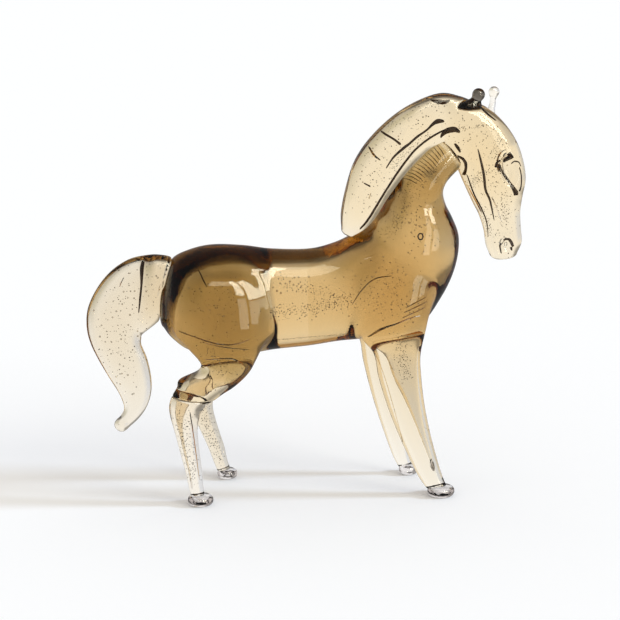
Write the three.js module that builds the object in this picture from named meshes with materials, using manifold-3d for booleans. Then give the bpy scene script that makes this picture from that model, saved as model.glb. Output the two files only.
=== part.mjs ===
// Standing horse figurine in solid lampworked glass.
// Millimetres. +X points to the muzzle, +Y to the horse's left side, +Z up. The soles stand on Z = 0.
// Every piece is one gather of glass. The gathers are lofts through oval sections, each cut back to
// its neighbour by the weld gap, so a change of one size carries through to what is welded on it.

import * as THREE from 'three';
import { mergeVertices } from 'three/addons/utils/BufferGeometryUtils.js';
import Module from 'manifold-3d';

const wasm = await Module();
wasm.setup();

// Trunk
const bellyHeight = 44.1;
const trunkLength = 86;
const barrelDepth = 28.5;
const barrelWidth = 22;
const rumpWidth = 26;
const shoulderWidth = 25.4;

// Neck
const neckLength = 35.6;
const neckRootWidth = 24.4;
const throatWidth = 16;

// Head
const headLength = 48.5;
const headThickness = 12.4;
const eyeHeight = 9.6;
const eyeWidth = 5.4;
const eyeDepth = 1.1;
const nostrilHeight = 3.2;
const nostrilWidth = 2.4;
const nostrilDepth = 0.9;

// Mane
const maneHeight = 14.3;
const maneThickness = 9.4;

// Ears
const rightEarBead = 3.7;
const leftEarBead = 3.1;
const rightEarBase = 8;
const leftEarBase = 2.6;
const earStalk = 1.9;
const earSpread = 7.6;

// Tail
const tailLength = 51;
const tailThickness = 6;
const dockThickness = 9.6;

// Hind legs
const hockHeight = 32;
const haunchSpan = 27.6;
const haunchThickness = 14;
const haunchSetBack = 0.7;
const gaskinSpan = 13.7;
const gaskinThickness = 9.4;
const hindAnkle = 4.1;
const hipSpacing = 17.2;
const hockSpacing = 20.4;
const hindFootSpacing = 23;

// Forelegs
const elbowSpan = 21;
const elbowThickness = 11.4;
const forelegRoot = 13.9;
const forelegRoundness = 0.66;
const rightForeAnkle = 6;
const leftForeAnkle = 3.8;
const elbowSpacing = 16.4;
const foreFootSpacing = 20.4;

// Hooves. Each stands a little ahead of its ankle.
const hoofThickness = 2.8;
const hoofLead = 0.6;
const rightForeHoof = 7.9;
const leftForeHoof = 5.6;
const rightHindHoof = 7.4;
const leftHindHoof = 5.9;

// Places along the trunk, from its rear
const rightHip = 18;
const leftHip = 19.5;
const rightHock = 8.5;
const leftHock = 13.9;
const rightHindFoot = 10.1;
const leftHindFoot = 19.3;
const rightElbow = 67.6;
const leftElbow = 65.3;
const rightForeFoot = 80.7;
const leftForeFoot = 73.8;

// Welds
const weldGap = 0.3;
const seatDepth = 2;

// Rounding of the ends
const rumpCap = 1.2;
const throatCap = 1.5;
const withersCap = 1;
const muzzleCap = 2;
const tailCap = 1.2;
const haunchCap = 1;
const elbowCap = 1.2;

// Roundness of the pressed pieces: 1 is an oval, and less is squarer
const slabRoundness = 0.71;
const bladeRoundness = 0.77;

// Fineness of the lofts
const bodySides = 28;
const slabSides = 20;
const legSides = 16;
const stepsPerSpan = 2;
const capSteps = 4;
const rimSteps = 5;
const beadSides = 14;
const beadRows = 10;
const degrees = Math.PI / 180;
const samePlace = 1e-4;

// A section is an oval: x, z and y of its middle, the long axis in the XZ plane, its width along Y,
// the tilt of the long axis from +X in degrees, and its roundness.
const section = (x, z, span, width, tilt, y = 0, roundness = 1) => (
  { x, z, span, width, tilt, y, roundness });

const topOf = (s) => new THREE.Vector3(
  s.x + 0.5 * s.span * Math.cos(s.tilt * degrees), s.y, s.z + 0.5 * s.span * Math.sin(s.tilt * degrees));

// Catmull-Rom value between b and c
function blend(a, b, c, d, t) {
  const linear = c - a;
  const square = 2 * a - 5 * b + 4 * c - d;
  const cube = 3 * (b - c) + d - a;
  return b + 0.5 * t * (linear + t * (square + t * cube));
}

// Sections run through by smooth curves, with steps between each two
function refine(sections, steps = stepsPerSpan) {
  const at = (i) => sections[Math.min(Math.max(i, 0), sections.length - 1)];
  const fine = [];
  for (let i = 0; i < sections.length - 1; i += 1) {
    for (let k = 0; k < steps; k += 1) {
      const between = {};
      for (const key of Object.keys(sections[i])) {
        between[key] = blend(at(i - 1)[key], at(i)[key], at(i + 1)[key], at(i + 2)[key], k / steps);
      }
      fine.push(between);
    }
  }
  fine.push(at(sections.length - 1));
  return fine;
}

// Points of one oval, grown outwards and drawn in by a scale
function ringOf(s, sides, grow, scale = 1) {
  const points = [];
  for (let i = 0; i < sides; i += 1) {
    const angle = (2 * Math.PI * i) / sides;
    const c = Math.cos(angle);
    const n = Math.sin(angle);
    const along = (0.5 * s.span + grow) * scale * Math.sign(c) * Math.abs(c) ** s.roundness;
    const across = (0.5 * s.width + grow) * scale * Math.sign(n) * Math.abs(n) ** s.roundness;
    points.push(new THREE.Vector3(
      s.x + along * Math.cos(s.tilt * degrees), s.y + across, s.z + along * Math.sin(s.tilt * degrees)));
  }
  return points;
}

const middleOf = (s) => new THREE.Vector3(s.x, s.y, s.z);

const shifted = (s, v) => ({ ...s, x: s.x + v.x, y: s.y + v.y, z: s.z + v.z });

// Direction square to a section's plane, pointing on from the section before it
function squareTo(s, before) {
  const normal = new THREE.Vector3(-Math.sin(s.tilt * degrees), 0, Math.cos(s.tilt * degrees));
  return normal.dot(middleOf(s).sub(before)) < 0 ? normal.negate() : normal;
}

// Rings of a rounded end beyond section s, and its tip
function capRings(s, outwards, length, sides, grow) {
  const rings = [];
  for (let k = 1; k < capSteps; k += 1) {
    const angle = (0.5 * Math.PI * k) / capSteps;
    const step = outwards.clone().multiplyScalar((length + grow) * Math.sin(angle));
    rings.push(ringOf(shifted(s, step), sides, grow, Math.cos(angle)));
  }
  return { rings, tip: middleOf(s).addScaledVector(outwards, length + grow) };
}

// Closed mesh through the sections. A cap of 0 leaves a flat end.
function loft(sections, sides, { startCap = 0, endCap = 0, grow = 0 } = {}) {
  const last = sections.length - 1;
  const startOut = squareTo(sections[0], middleOf(sections[1]));
  const endOut = squareTo(sections[last], middleOf(sections[last - 1]));
  const rings = sections.map((s) => ringOf(s, sides, grow));
  let startTip = middleOf(sections[0]);
  let endTip = middleOf(sections[last]);
  if (grow > 0 && startCap === 0) {
    startTip.addScaledVector(startOut, grow);
    rings.unshift(ringOf(shifted(sections[0], startOut.clone().multiplyScalar(grow)), sides, grow));
  }
  if (grow > 0 && endCap === 0) {
    endTip.addScaledVector(endOut, grow);
    rings.push(ringOf(shifted(sections[last], endOut.clone().multiplyScalar(grow)), sides, grow));
  }
  if (startCap > 0) {
    const cap = capRings(sections[0], startOut, startCap, sides, grow);
    rings.unshift(...cap.rings.reverse());
    startTip = cap.tip;
  }
  if (endCap > 0) {
    const cap = capRings(sections[last], endOut, endCap, sides, grow);
    rings.push(...cap.rings);
    endTip = cap.tip;
  }
  return closedMesh(rings, startTip, endTip, sides);
}

function closedMesh(rings, startTip, endTip, sides) {
  const points = [startTip, ...rings.flat(), endTip];
  const end = points.length - 1;
  const index = [];
  for (let i = 0; i < sides; i += 1) {
    const next = (i + 1) % sides;
    index.push(0, 1 + next, 1 + i);
    for (let r = 0; r < rings.length - 1; r += 1) {
      const a = 1 + r * sides;
      const b = a + sides;
      index.push(a + i, a + next, b + next, a + i, b + next, b + i);
    }
    const a = 1 + (rings.length - 1) * sides;
    index.push(end, a + i, a + next);
  }
  const geometry = new THREE.BufferGeometry().setFromPoints(points);
  geometry.setIndex(volumeOf(points, index) < 0 ? index.reverse() : index);
  return geometry;
}

function volumeOf(points, index) {
  let sum = 0;
  for (let i = 0; i < index.length; i += 3) {
    const [a, b, c] = [points[index[i]], points[index[i + 1]], points[index[i + 2]]];
    sum += a.dot(b.clone().cross(c));
  }
  return sum / 6;
}

// Joins and cuts
function solidOf(geometry) {
  const bare = geometry.clone();
  bare.deleteAttribute('normal');
  bare.deleteAttribute('uv');
  const merged = mergeVertices(bare, samePlace);
  return new wasm.Manifold(new wasm.Mesh({
    numProp: 3,
    vertProperties: new Float32Array(merged.attributes.position.array),
    triVerts: new Uint32Array(merged.index.array),
  }));
}

function geometryOf(solid) {
  const mesh = solid.getMesh();
  const geometry = new THREE.BufferGeometry();
  geometry.setAttribute('position', new THREE.BufferAttribute(mesh.vertProperties, 3));
  geometry.setIndex(new THREE.BufferAttribute(mesh.triVerts, 1));
  return geometry;
}

const cut = (geometry, ...tools) => geometryOf(
  tools.reduce((solid, tool) => solid.subtract(solidOf(tool)), solidOf(geometry)));

const join = (geometry, ...others) => geometryOf(
  others.reduce((solid, other) => solid.add(solidOf(other)), solidOf(geometry)));

// Finishes
const glass = (color, opacity) => new THREE.MeshStandardMaterial(
  { color, roughness: 0.04, metalness: 0, transparent: true, opacity });

const smokyAmber = () => glass('#8a6a34', 0.8);
const paleChampagne = () => glass('#e6d3a8', 0.55);

const figurine = new THREE.Group();

function place(name, geometry, material) {
  const mesh = new THREE.Mesh(geometry, material);
  mesh.name = name;
  figurine.add(mesh);
}

// Body: rump, barrel, shoulders and neck are one run of sections, parted at the neck's weld.
// Rows of the trunk, from the tail: place along it and height of the middle, span, width, tilt.
const inTrunk = (along, up) => ({ x: along * trunkLength, z: bellyHeight + up * barrelDepth });

const trunkRows = [
  [0.007, 0.48, 0.49, 0.49 * rumpWidth, 88],
  [0.036, 0.52, 0.81, 0.77 * rumpWidth, 89],
  [0.094, 0.505, 1.03, 0.94 * rumpWidth, 88],
  [0.176, 0.495, 1.14, rumpWidth, 90],
  [0.282, 0.49, 1.12, 0.97 * rumpWidth, 91],
  [0.376, 0.49, 1.04, 1.03 * barrelWidth, 91],
  [0.497, 0.5, 1, barrelWidth, 90],
  [0.593, 0.55, 1.015, 1.03 * barrelWidth, 94],
  [0.683, 0.6, 1.09, 0.98 * shoulderWidth, 106],
  [0.766, 0.675, 1.17, shoulderWidth, 121],
  [0.817, 0.85, 1.08, 0.95 * shoulderWidth, 136],
];
const trunkSections = trunkRows.map(([along, up, span, width, tilt]) => {
  const { x, z } = inTrunk(along, up);
  return section(x, z, span * barrelDepth, width, tilt);
});

// Rows of the neck, from its weld, in neck lengths from the withers
const withers = inTrunk(0.666, 1.175);
const throatShare = throatWidth / neckRootWidth;
const neckRows = [
  [0.445, -0.105, 0.79, 1, 151],
  [0.485, 0.05, 0.7, 0.91, 161],
  [0.486, 0.176, 0.575, 0.83, 164],
  [0.49, 0.278, 0.455, 0.75, 162],
  [0.515, 0.385, 0.355, 1.22 * throatShare, 157],
  [0.575, 0.482, 0.305, 1.12 * throatShare, 147],
  [0.66, 0.57, 0.29, throatShare, 137],
  [0.74, 0.635, 0.28, 0.86 * throatShare, 128],
];
const neckSections = neckRows.map(([along, up, span, width, tilt]) => section(
  withers.x + along * neckLength, withers.z + up * neckLength,
  span * neckLength, width * neckRootWidth, tilt));

const bodySections = [...trunkSections, ...neckSections];
const bodyRings = refine(bodySections);
const neckWeld = trunkSections.length * stepsPerSpan;
const trunkRings = bodyRings.slice(0, neckWeld + 1);
const neckRings = bodyRings.slice(neckWeld);
const weldOut = squareTo(neckRings[0], middleOf(trunkRings[neckWeld - 1]));
neckRings[0] = shifted(neckRings[0], weldOut.clone().multiplyScalar(weldGap));

const trunkForm = (grow) => loft(trunkRings, bodySides, { startCap: rumpCap, grow });
const neckForm = loft(neckRings, bodySides, { endCap: throatCap });
const bodyForm = (grow) => loft(
  bodyRings, bodySides, { startCap: rumpCap, endCap: throatCap, grow });

// Mane and head are one run of pale slab sections, parted at the poll.
// The mane stands on the crest, a curve along the tops of the withers and neck.
const crest = new THREE.CatmullRomCurve3(bodySections.slice(trunkSections.length - 3).map(topOf));

// Rows of the mane: place along the crest, height, lean of the strip, thickness
const maneRows = [
  [0.03, 0.26, 152, 0.6],
  [0.13, 0.56, 147, 0.85],
  [0.25, 0.8, 139, 1],
  [0.4, 0.95, 136, 1],
  [0.54, 1, 136, 1],
  [0.68, 1, 135, 1],
  [0.81, 0.98, 128, 1],
  [0.92, 0.94, 118, 1.05],
];
const maneSections = maneRows.map(([along, height, lean, thickness]) => {
  const foot = crest.getPointAt(along);
  const span = height * maneHeight + seatDepth;
  const out = 0.5 * span - seatDepth;
  return section(
    foot.x + out * Math.cos(lean * degrees), foot.z + out * Math.sin(lean * degrees),
    span, thickness * maneThickness, lean, 0, slabRoundness);
});

// Rows of the head, in head lengths from the top of the neck
const poll = crest.getPointAt(1);
const headRows = [
  [0.007, 0.119, 0.309, 0.74, 96],
  [0.079, 0.099, 0.318, 0.84, 77],
  [0.126, 0.068, 0.338, 0.9, 67],
  [0.181, 0.031, 0.364, 0.95, 55],
  [0.239, -0.034, 0.381, 1, 43],
  [0.287, -0.112, 0.386, 1, 30],
  [0.319, -0.197, 0.377, 0.96, 18],
  [0.341, -0.281, 0.353, 0.9, 12],
  [0.35, -0.366, 0.299, 0.8, 9],
  [0.363, -0.45, 0.248, 0.68, 5],
  [0.382, -0.55, 0.221, 0.64, 4],
  [0.392, -0.635, 0.216, 0.62, 5],
  [0.391, -0.696, 0.167, 0.54, 4],
];
const inHead = (along, up) => ({ x: poll.x + along * headLength, z: poll.z + up * headLength });
const headSections = headRows.map(([along, up, span, width, tilt]) => {
  const { x, z } = inHead(along, up);
  return section(x, z, span * headLength, width * headThickness, tilt, 0, slabRoundness);
});

const slabRings = refine([...maneSections, ...headSections]);
const pollWeld = maneSections.length * stepsPerSpan;
const maneRings = slabRings.slice(0, pollWeld + 1);
const headRings = slabRings.slice(pollWeld);
const pollOut = squareTo(headRings[0], middleOf(maneRings[pollWeld - 1]));
headRings[0] = shifted(headRings[0], pollOut.clone().multiplyScalar(weldGap));

const maneForm = loft(maneRings, slabSides, { startCap: withersCap });
const headForm = (grow) => loft(headRings, slabSides, { endCap: muzzleCap, grow });

// Eyes and nostrils are hollows pressed into both cheeks: place in head lengths, share of the
// thickness there, lean from upright, and sizes
function cheekHollow(side, along, up, share, lean, height, width, depth) {
  const { x, z } = inHead(along, up);
  return new THREE.SphereGeometry(1, beadSides, beadRows)
    .scale(0.5 * width, depth, 0.5 * height)
    .rotateY(lean * degrees)
    .translate(x, side * 0.5 * share * headThickness, z);
}

const cheekHollows = [-1, 1].flatMap((side) => [
  cheekHollow(side, 0.405, -0.18, 0.91, -16, eyeHeight, eyeWidth, eyeDepth),
  cheekHollow(side, 0.4, -0.64, 0.61, 0, nostrilHeight, nostrilWidth, nostrilDepth),
]);

place('trunk', trunkForm(0), smokyAmber());
place('neck', cut(neckForm, headForm(weldGap)), smokyAmber());
place('head', cut(headForm(0), ...cheekHollows), paleChampagne());
place('mane', cut(maneForm, bodyForm(weldGap)), paleChampagne());

// Ears: a bead drawn out on a stalk, on the edge of the forehead
function ear(name, side, bead, base, rootAlong, rootUp, tipAlong, tipUp) {
  const y = 0.5 * side * earSpread;
  const root = inHead(rootAlong, rootUp);
  const tip = inHead(tipAlong, tipUp);
  const rise = Math.hypot(tip.x - root.x, tip.z - root.z);
  const share = (t, key) => root[key] + t * (tip[key] - root[key]);
  const tilt = Math.atan2(tip.z - root.z, tip.x - root.x) / degrees - 90;
  const stalkRows = [[0, base], [0.35, 0.5 * (base + earStalk)], [0.7, earStalk]];
  const sections = stalkRows.map(([t, width]) => section(
    share(t, 'x'), share(t, 'z'), width, Math.min(width, headThickness - earSpread), tilt, y));
  sections.push(section(tip.x, tip.z, earStalk, earStalk, tilt, y));
  const ball = new THREE.SphereGeometry(0.5 * bead, beadSides, beadRows).translate(tip.x, y, tip.z);
  const form = join(loft(refine(sections), legSides, { endCap: 0.1 * rise }), ball);
  place(name, cut(form, headForm(weldGap)), side < 0 ? smokyAmber() : paleChampagne());
}

ear('ear_right', -1, rightEarBead, rightEarBase, 0.158, 0.2, 0.205, 0.279);
ear('ear_left', 1, leftEarBead, leftEarBase, 0.31, 0.1, 0.33, 0.265);

// Tail: a pressed blade from the top of the rump, curling to a drawn-out tip.
// Rows, in tail lengths from the dock: place and height of the middle, span, thickness, tilt.
const dock = inTrunk(0.035, 0.95);
const tailRows = [
  [0.03, -0.18, 0.28, dockThickness, 84],
  [-0.026, -0.175, 0.352, dockThickness, 82],
  [-0.094, -0.19, 0.412, 0.94 * dockThickness, 86],
  [-0.165, -0.218, 0.46, 0.72 * dockThickness, 88],
  [-0.21, -0.236, 0.455, 1.03 * tailThickness, 99],
  [-0.26, -0.275, 0.428, tailThickness, 113],
  [-0.3, -0.33, 0.395, tailThickness, 128],
  [-0.325, -0.398, 0.369, tailThickness, 144],
  [-0.324, -0.466, 0.344, 0.97 * tailThickness, 157],
  [-0.306, -0.533, 0.325, 0.93 * tailThickness, 165],
  [-0.277, -0.611, 0.29, 0.87 * tailThickness, 171],
  [-0.243, -0.706, 0.244, 0.77 * tailThickness, 174],
  [-0.22, -0.788, 0.189, 0.67 * tailThickness, 175],
  [-0.218, -0.859, 0.139, 0.6 * tailThickness, 170],
  [-0.235, -0.911, 0.102, 0.57 * tailThickness, 157],
  [-0.273, -0.957, 0.08, 0.57 * tailThickness, 137],
  [-0.3, -0.985, 0.066, 0.53 * tailThickness, 133],
];
const tailRings = refine(tailRows.map(([along, up, span, thickness, tilt]) => section(
  dock.x + along * tailLength, dock.z + up * tailLength,
  span * tailLength, thickness, tilt, 0, bladeRoundness)));
const tailForm = loft(tailRings, slabSides, { endCap: tailCap });
place('tail', cut(tailForm, trunkForm(weldGap)), paleChampagne());

// Feet: a bead pressed flat on the bench, square to the floor
const rimRadius = 0.45 * hoofThickness;
function hoofForm(x, y, diameter, grow) {
  const soleRadius = 0.5 * diameter - rimRadius;
  const outline = [new THREE.Vector2(0, -grow), new THREE.Vector2(soleRadius, -grow)];
  for (let k = 1; k <= rimSteps; k += 1) {
    const angle = Math.PI * (k / rimSteps - 0.5);
    outline.push(new THREE.Vector2(
      soleRadius + (rimRadius + grow) * Math.cos(angle),
      rimRadius + (rimRadius + grow) * Math.sin(angle)));
  }
  outline.push(new THREE.Vector2(0, hoofThickness + grow));
  return new THREE.LatheGeometry(outline, slabSides).rotateX(0.5 * Math.PI).translate(x, y, 0);
}

// Legs run from inside the trunk down to the hoof
const mix = (from, to, t) => from + t * (to - from);

function hindLeg(label, side, { hip, hock, foot, hoof }) {
  const hipOut = 0.5 * hipSpacing;
  const hockOut = 0.5 * hockSpacing;
  const footOut = 0.5 * hindFootSpacing;
  const gaskinRise = bellyHeight - hockHeight;
  // Rows of the haunch: height in barrel depths over the belly, distance from the middle plane,
  // span and thickness in those of the haunch
  const haunchPlace = hip - haunchSetBack;
  const haunchRows = [
    [0.9, 0.5, 0.44, 0.42],
    [0.8, 0.81, 0.71, 0.8],
    [0.64, 0.93, 0.9, 0.95],
    [0.43, 1, 0.99, 1],
    [0.235, 1.03, 1, 1],
  ];
  // Rows of the gaskin: height over the hock, way from hip to hock, span, thickness, tilt
  const gaskinRows = [
    [1.14, 0.02, 1.52, 1.4, -1],
    [0.884, -0.03, 1.21, 1.27, -2],
    [0.686, 0.01, 1.04, 1.17, -6],
    [0.52, 0.2, 1.01, 1.12, -9],
    [0.335, 0.49, 1, 1.08, -9],
    [0.174, 0.76, 0.96, 1.04, -8],
    [0, 1, 0.905, 1, -6],
  ];
  // Rows of the shank: way down from the hock, way from heel to ankle, span and thickness in
  // those of the ankle
  const heel = hock - 0.19 * gaskinSpan;
  const ankle = foot - hoofLead;
  const shankRows = [
    [0.06, 0.26, 2.6, 2.25],
    [0.12, 0.07, 2.3, 2.1],
    [0.19, 0, 2, 1.9],
    [0.29, 0.05, 1.68, 1.68],
    [0.42, 0.22, 1.48, 1.5],
    [0.55, 0.42, 1.34, 1.35],
    [0.69, 0.64, 1.2, 1.2],
    [0.825, 0.8, 1.05, 1.08],
  ];
  const sections = [
    ...haunchRows.map(([up, out, span, thickness]) => section(
      haunchPlace, bellyHeight + up * barrelDepth, span * haunchSpan, thickness * haunchThickness,
      0, side * out * hipOut)),
    ...gaskinRows.map(([up, along, span, thickness, tilt]) => section(
      mix(hip, hock, along), hockHeight + up * gaskinRise, span * gaskinSpan,
      thickness * gaskinThickness, tilt, side * mix(hockOut, hipOut, 0.8 * up))),
    ...shankRows.map(([down, along, span, thickness]) => section(
      mix(heel, ankle, along), hockHeight * (1 - down), span * hindAnkle, thickness * hindAnkle,
      -2, side * mix(hockOut, footOut, down))),
    section(ankle, 0.5 * hoofThickness, hindAnkle, hindAnkle, 0, side * footOut),
  ];
  const rings = refine(sections);
  const weld = (haunchRows.length + gaskinRows.length - 1) * stepsPerSpan;
  const shankRings = rings.slice(weld);
  const down = squareTo(shankRings[0], middleOf(rings[weld - 1]));
  shankRings[0] = shifted(shankRings[0], down.multiplyScalar(weldGap));
  const thighForm = loft(rings.slice(0, weld + 1), legSides, { startCap: haunchCap });
  const shankForm = loft(shankRings, legSides);
  const y = side * footOut;
  place(`thigh_${label}`, cut(thighForm, trunkForm(weldGap)), smokyAmber());
  place(`shank_${label}`, cut(shankForm, hoofForm(foot, y, hoof, weldGap)), paleChampagne());
  place(`hoof_hind_${label}`, hoofForm(foot, y, hoof, 0), paleChampagne());
}

hindLeg('right', -1, { hip: rightHip, hock: rightHock, foot: rightHindFoot, hoof: rightHindHoof });
hindLeg('left', 1, { hip: leftHip, hock: leftHock, foot: leftHindFoot, hoof: leftHindHoof });

function foreLeg(label, side, { elbow, foot, ankle, hoof }) {
  const elbowOut = 0.5 * elbowSpacing;
  const footOut = 0.5 * foreFootSpacing;
  // Rows of the shoulder: height in barrel depths over the belly, place ahead of the elbow in
  // elbow spans, distance from the middle plane, span, thickness, tilt
  const elbowRows = [
    [0.87, 0.09, 0.62, 0.36, 0.42, 14],
    [0.79, 0.075, 0.82, 0.68, 0.74, 14],
    [0.62, 0.04, 0.97, 0.93, 0.94, 14],
    [0.42, 0, 1, 1, 1, 14],
    [0.2, -0.035, 0.97, 0.92, 0.95, 12],
  ];
  // Below the belly the leg tapers evenly while it bows forwards to the foot
  const heights = [0.98, 0.82, 0.64, 0.46, 0.28, 0.13];
  const bow = (share) => (1 - share) ** 1.6;
  const splay = (share) => share ** 1.4;
  const ankleMiddle = foot - hoofLead;
  const spanAt = (share) => mix(ankle, forelegRoot, share);
  const sections = [
    ...elbowRows.map(([up, ahead, out, span, thickness, tilt]) => section(
      elbow + ahead * elbowSpan, bellyHeight + up * barrelDepth, span * elbowSpan,
      thickness * elbowThickness, tilt, side * out * elbowOut)),
    ...heights.map((share) => section(
      mix(elbow, ankleMiddle, bow(share)), share * bellyHeight, spanAt(share),
      forelegRoundness * spanAt(share), 0, side * mix(footOut, elbowOut, splay(share)))),
    section(
      ankleMiddle, 0.5 * hoofThickness, ankle, forelegRoundness * ankle, 0, side * footOut),
  ];
  const form = loft(refine(sections), legSides, { startCap: elbowCap });
  const y = side * footOut;
  const leg = cut(form, trunkForm(weldGap), hoofForm(foot, y, hoof, weldGap));
  place(`foreleg_${label}`, leg, paleChampagne());
  place(`hoof_fore_${label}`, hoofForm(foot, y, hoof, 0), paleChampagne());
}

foreLeg('right', -1, {
  elbow: rightElbow, foot: rightForeFoot, ankle: rightForeAnkle, hoof: rightForeHoof,
});
foreLeg('left', 1, {
  elbow: leftElbow, foot: leftForeFoot, ankle: leftForeAnkle, hoof: leftForeHoof,
});

// The origin lies under the middle of the figurine's box
const middle = new THREE.Box3().setFromObject(figurine).getCenter(new THREE.Vector3());
figurine.position.set(-middle.x, -middle.y, 0);

export default figurine;
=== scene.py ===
"""Looks of the glass horse figurine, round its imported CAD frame. Forms in mm, meshes and studio in metres."""

import math
from itertools import product

import bmesh
import bpy
import numpy as np
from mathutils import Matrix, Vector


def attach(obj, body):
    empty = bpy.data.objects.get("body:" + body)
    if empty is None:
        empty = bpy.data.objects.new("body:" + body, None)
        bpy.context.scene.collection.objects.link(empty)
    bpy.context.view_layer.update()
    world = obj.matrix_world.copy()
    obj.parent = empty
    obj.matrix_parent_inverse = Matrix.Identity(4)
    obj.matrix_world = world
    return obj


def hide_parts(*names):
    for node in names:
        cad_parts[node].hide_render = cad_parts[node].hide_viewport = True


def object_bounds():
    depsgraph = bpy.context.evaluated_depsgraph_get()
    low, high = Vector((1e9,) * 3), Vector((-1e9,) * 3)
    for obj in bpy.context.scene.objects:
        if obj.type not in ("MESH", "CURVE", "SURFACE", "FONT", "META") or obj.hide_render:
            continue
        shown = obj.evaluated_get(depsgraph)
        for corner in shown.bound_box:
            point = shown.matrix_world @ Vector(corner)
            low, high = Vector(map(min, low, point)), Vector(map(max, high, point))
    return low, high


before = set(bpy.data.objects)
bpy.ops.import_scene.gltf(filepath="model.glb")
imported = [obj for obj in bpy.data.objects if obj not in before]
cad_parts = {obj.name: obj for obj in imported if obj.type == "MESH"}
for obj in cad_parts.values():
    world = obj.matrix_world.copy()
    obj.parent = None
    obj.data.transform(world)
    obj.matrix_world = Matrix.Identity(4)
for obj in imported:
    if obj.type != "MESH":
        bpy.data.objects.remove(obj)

import openvdb as vdb
from mathutils import Vector
from mathutils.bvhtree import BVHTree

cad_low, cad_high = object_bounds()

MM = 0.001
VOXEL = 0.36  # mm
BAND = 9  # voxels kept on either side of a surface
STEPS = 6  # steps from a section to the next
SIDES = 72  # points round a section
CAP_STEPS = 10  # rings in a rounded end


# Marks in the glass, in mm on the side view: x from the middle of the figurine, z from the floor

# Short seams across the throat, each through three points of x and z
THROAT = [
    ((37.3, 103), (38.2, 101.9), (39.4, 99.8)), ((36.4, 102.3), (37.4, 101.2), (38.7, 99.3)),
    ((35.5, 101.6), (36.7, 100.6), (38, 98.7)), ((34.7, 100.8), (35.9, 99.9), (37.4, 98.2)),
    ((33.9, 100.1), (35.2, 99.3), (36.7, 97.6)), ((33.1, 99.3), (34.4, 98.6), (36, 97)),
    ((32.3, 98.5), (33.6, 98), (35.3, 96.5)), ((31.5, 97.7), (32.9, 97.3), (34.5, 95.9)),
    ((30.7, 96.9), (32.1, 96.6), (33.8, 95.4)), ((29.9, 96), (31.4, 95.9), (33.1, 94.8)),
    ((29.1, 95.2), (30.6, 95.2), (32.3, 94.2)), ((28.4, 94.3), (29.9, 94.5), (31.6, 93.7)),
    ((27.6, 93.4), (29.1, 93.7), (30.9, 93))]
THROAT_HALVES = (0.07, 0.12, 0.07)
throat_seams = [
    [(x, z, half) for (x, z), half in zip(points, THROAT_HALVES)] for points in THROAT]

# A seam is a stretched pocket of air: a path of x, z and half width
SEAMS = {
    "crest_and_head": [
        [(17.5, 103, 0.26), (19, 100.7, 0.32), (20.9, 99.2, 0.17)],
        [(18.2, 89.8, 0.14), (17.6, 88, 0.17)],
        [(53, 88, 0.14), (54.6, 84.8, 0.29), (56.5, 80, 0.14)],
        [(45.9, 91.4, 0.17), (48, 87.3, 0.26), (50.4, 82.8, 0.23)],
        [(44.9, 86.5, 0.12), (43.9, 89.5, 0.2), (43.3, 92.5, 0.12)]],
    "body": [
        *throat_seams,
        [(16.6, 48.8, 0.23), (20.3, 51.5, 0.35), (24.6, 53.2, 0.23), (28.6, 54.7, 0.2),
         (31.9, 55.1, 0.14)],
        [(27.4, 58, 0.12), (30.3, 59.3, 0.14), (33.7, 60.6, 0.12)],
        [(26.8, 56.6, 0.12), (30, 57.8, 0.14), (34, 59.3, 0.12)],
        [(26.3, 55, 0.12), (29.5, 56.2, 0.14), (33.4, 57.6, 0.12)],
        [(12.1, 58.7, 0.12), (14.9, 63.2, 0.17), (18.6, 66.4, 0.17), (23.5, 67.2, 0.12)],
        [(-37.7, 52.3, 0.12), (-33.6, 51.2, 0.17), (-26.8, 49.2, 0.2), (-22, 48.9, 0.17),
         (-17.4, 50, 0.12)],
        [(-30.8, 49.5, 0.09), (-24.3, 48.1, 0.14), (-17.4, 46.9, 0.12)],
        [(-30.5, 44, 0.12), (-24.3, 44.7, 0.2), (-20.9, 43.8, 0.2), (-18.2, 41.3, 0.12)],
        [(-31.6, 69.6, 0.12), (-30.4, 67.3, 0.17), (-29.4, 65.4, 0.12)],
        [(18.5, 44.7, 0.12), (20.4, 40, 0.14), (22.7, 33, 0.14), (27.7, 14.7, 0.12)]],
    "tail_blade": [
        [(-52.6, 66.2, 0.12), (-53.5, 64.6, 0.2), (-53.9, 63.4, 0.12)]],
    "hind_shank_right": [
        [(-34.7, 29.1, 0.14), (-33.3, 20.1, 0.17), (-32, 7.9, 0.12)]]}
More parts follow.
